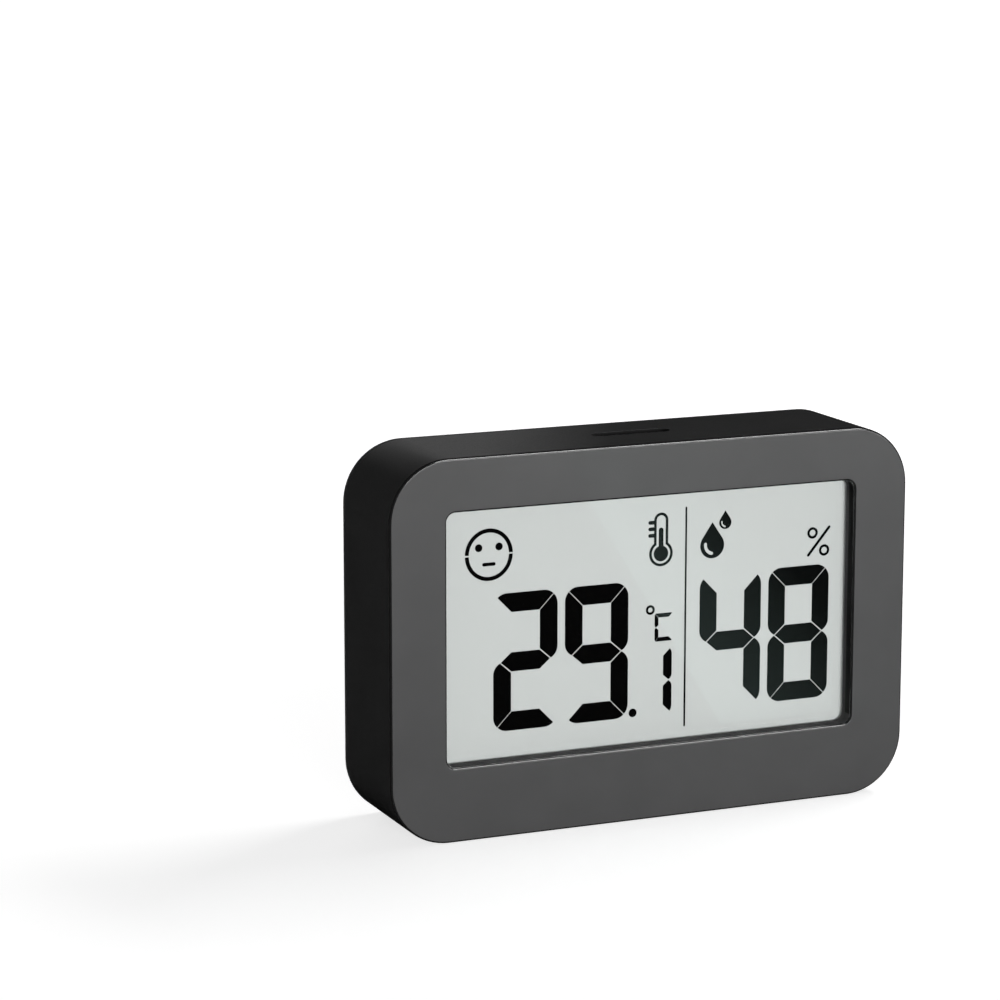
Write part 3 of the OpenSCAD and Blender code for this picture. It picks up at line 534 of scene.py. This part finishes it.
PERCENT_RINGS, PERCENT_RADIUS, PERCENT_STROKE = ((19.93, 7.55), (21.38, 5.55)), 0.63, 0.28
PERCENT_BAR, PERCENT_BAR_W = ((19.45, 5.12), (21.95, 8.07)), 0.30
percent_shapes = [ring(centre, PERCENT_RADIUS, PERCENT_STROKE) for centre in PERCENT_RINGS]
percent_shapes.append([capsule(*PERCENT_BAR, PERCENT_BAR_W)])
plate("lcd_percent_sign", percent_shapes)


# Camera at the photograph's angle

AZIMUTH, ELEVATION = math.radians(-23.145), math.radians(11.018)
DISTANCE = 368.63
AIM_RIGHT, AIM_UP, AIM_HEIGHT = -13.642, 13.135, 20.0
FOCAL_SHARE = 3.43
SENSOR = 36.0
CLIP_START = 0.01

level_share = math.cos(ELEVATION)
back = Vector((math.sin(AZIMUTH) * level_share, -math.cos(AZIMUTH) * level_share, math.sin(ELEVATION)))
right = Vector((math.cos(AZIMUTH), math.sin(AZIMUTH), 0))
up = back.cross(right)
aim = Vector((0, 0, AIM_HEIGHT)) + AIM_RIGHT * right + AIM_UP * up
camera_data = bpy.data.cameras.new("camera")
camera_data.sensor_width = SENSOR
camera_data.lens = FOCAL_SHARE * SENSOR
camera_data.clip_start = CLIP_START
camera = bpy.data.objects.new("camera", camera_data)
camera.location = (aim + DISTANCE * back) * MM
camera.rotation_euler = back.to_track_quat("Z", "Y").to_euler()
bpy.context.scene.collection.objects.link(camera)
bpy.context.scene.camera = camera


# Stage, in metres: a white floor and world, softboxes, and a dark tent that only reflections and rays through
# glass see

def seen_directly(tree):
    """1 for rays that show the background: from the camera, gloss or glass, with no diffuse bounce."""
    path = add(tree, "LightPath").outputs
    shown = combine(tree, "MAXIMUM", path["Is Camera Ray"], path["Is Glossy Ray"])
    shown = combine(tree, "MAXIMUM", shown, path["Is Transmission Ray"])
    return combine(tree, "SUBTRACT", shown, path["Diffuse Depth"], use_clamp=True)


AMBIENT = 0.10
world = bpy.data.worlds.new("studio")
world.use_nodes = True
bpy.context.scene.world = world
world_tree = world.node_tree
background = world_tree.nodes["Background"]
background.inputs["Color"].default_value = WHITE
world_level = spread(world_tree, seen_directly(world_tree), low=AMBIENT, high=1.0, start=0.0, end=1.0)
world_tree.links.new(world_level, background.inputs["Strength"])


def sheet(name, corners, material):
    """A flat stage piece with these corners."""
    mesh = bpy.data.meshes.new(name)
    mesh.from_pydata([Vector(c) for c in corners], [], [list(range(len(corners)))])
    mesh.materials.append(material)
    made = bpy.data.objects.new(name, mesh)
    bpy.context.scene.collection.objects.link(made)
    return made


def level_square(half):
    """Corners of a level square round the middle."""
    return [(-half, -half), (half, -half), (half, half), (-half, half)]


def only_reflected(obj):
    """Keeps a stage piece out of everything but reflections and rays through glass."""
    obj.visible_camera = False
    obj.visible_diffuse = False
    obj.visible_volume_scatter = False
    obj.visible_shadow = False


# The floor glows for the rays that show it, less near the case, so that the case's shadow stays
FLOOR_HALF = 3.0
NEAR_GLOW, FAR_GLOW = 0.73, 1.0
NEAR_FLOOR, FAR_FLOOR = 0.06, 0.40
floor_material, floor_tree, floor_shader = principled(
    "floor", Base_Color=(0.6, 0.6, 0.6, 1), Roughness=0.9, Specular_IOR_Level=0.0, Emission_Color=WHITE)
floor_place = add(floor_tree, "TexCoord")
away = add(floor_tree, "VectorMath", operation="LENGTH")
floor_tree.links.new(floor_place.outputs["Object"], away.inputs[0])
rise = spread(floor_tree, away.outputs["Value"], NEAR_GLOW, FAR_GLOW, NEAR_FLOOR, FAR_FLOOR)
glow = combine(floor_tree, "MULTIPLY", seen_directly(floor_tree), rise)
floor_tree.links.new(glow, floor_shader.inputs["Emission Strength"])
sheet("floor", [(x, y, 0) for x, y in level_square(FLOOR_HALF)], floor_material)


def softbox(name, location, target, size, power):
    """An area lamp that faces its target and isn't seen by the camera."""
    lamp = bpy.data.lights.new(name, "AREA")
    lamp.shape = "RECTANGLE"
    lamp.size, lamp.size_y = size
    lamp.energy = power
    made = bpy.data.objects.new(name, lamp)
    made.location = location
    made.rotation_euler = (Vector(location) - Vector(target)).to_track_quat("Z", "Y").to_euler()
    made.visible_camera = False
    bpy.context.scene.collection.objects.link(made)
    return made


MIDDLE = (0, 0, 0.02)
# Each lamp's name, location, size, power, and the kind of ray that doesn't see it
LAMPS = (
    ("key", (-0.075, -0.95, 0.10), (0.45, 0.14), 7.7, "glossy"),
    ("sheen", (0.36, -0.87, 0.05), (0.6, 0.09), 2.2, "diffuse"),
    ("edge", (0.23, -0.37, 0.41), (0.35, 0.12), 2.4, "diffuse"),
    ("overhead", (0.40, 0.12, 0.45), (0.3, 0.1), 1.6, "glossy"),
    ("rear_fill", (0.45, 0.95, 0.12), (0.4, 0.2), 4.0, "glossy"),
)
for name, location, size, power, blind in LAMPS:
    setattr(softbox(name, location, MIDDLE, size, power), "visible_" + blind, False)

TENT_HALF, TENT_TOP, TENT_BOTTOM = 2.0, 2.0, 0.00002
tent_material = principled("tent", Base_Color=BLACK, Roughness=1.0, Specular_IOR_Level=0.0)[0]
ground = level_square(TENT_HALF)
only_reflected(sheet("tent_floor", [(x, y, TENT_BOTTOM) for x, y in ground], tent_material))
only_reflected(sheet("tent_roof", [(x, y, TENT_TOP) for x, y in ground], tent_material))
for number, (a, b) in enumerate(zip(ground, ground[1:] + ground[:1])):
    wall = [(*a, TENT_BOTTOM), (*b, TENT_BOTTOM), (*b, TENT_TOP), (*a, TENT_TOP)]
    only_reflected(sheet(f"tent_wall_{number}", wall, tent_material))

# A pale sheet before the case, whose slanting edge the window reflects as a diagonal. It fades away from that edge
FLAG_HEIGHT = 0.00005
FLAG_EDGE = ((0.0243, -0.035), (0.1438, -0.400))
FLAG_FAR = 0.6
FLAG_GLOW, FLAG_FADE = (0.33, 0.03), 0.025
FLAG_TINT = (0.72, 1.0, 0.93, 1)
flag_material, flag_tree, flag_shader = principled(
    "flag", Base_Color=BLACK, Specular_IOR_Level=0.0, Emission_Color=FLAG_TINT)
near, far = FLAG_EDGE
slope = (far[0] - near[0]) / (near[1] - far[1])
edge_place = near[0] + slope * near[1]
across = add(flag_tree, "VectorMath", operation="DOT_PRODUCT")
across.inputs[1].default_value = (1, slope, 0)
flag_place = add(flag_tree, "TexCoord")
flag_tree.links.new(flag_place.outputs["Object"], across.inputs[0])
fade = spread(flag_tree, across.outputs["Value"], *FLAG_GLOW, edge_place, edge_place + FLAG_FADE)
flag_tree.links.new(fade, flag_shader.inputs["Emission Strength"])
flag_corners = [near, far, (FLAG_FAR, far[1]), (FLAG_FAR, near[1])]
only_reflected(sheet("flag", [(x, y, FLAG_HEIGHT) for x, y in flag_corners], flag_material))

# A pale card behind the case, which its top reflects
CARD_Y, CARD_GLOW = 0.060, 0.13
CARD_LEFT, CARD_RIGHT, CARD_LOW, CARD_HIGH = -0.040, 0.026, 0.030, 0.070
# Each fade's axis, where it is dark, where it is bright, and how bright it gets
CARD_FADES = (
    ("X", CARD_RIGHT, 0.008, CARD_GLOW),
    ("X", CARD_LEFT, -0.020, 1),
    ("Z", CARD_HIGH, 0.060, 1),
)
card_material, card_tree, card_shader = principled(
    "top_card", Base_Color=BLACK, Specular_IOR_Level=0.0, Emission_Color=WHITE)
card_axes = add(card_tree, "SeparateXYZ")
card_place = add(card_tree, "TexCoord")
card_tree.links.new(card_place.outputs["Object"], card_axes.inputs["Vector"])
ramps = [spread(card_tree, card_axes.outputs[axis], 0, high, dark, bright)
         for axis, dark, bright, high in CARD_FADES]
strength = ramps[0]
for ramp in ramps[1:]:
    strength = combine(card_tree, "MULTIPLY", strength, ramp)
card_tree.links.new(strength, card_shader.inputs["Emission Strength"])
card_corners = [(CARD_LEFT, CARD_LOW), (CARD_RIGHT, CARD_LOW), (CARD_RIGHT, CARD_HIGH), (CARD_LEFT, CARD_HIGH)]
only_reflected(sheet("top_card", [(x, CARD_Y, z) for x, z in card_corners], card_material))

bpy.context.scene.view_settings.view_transform = "Standard"
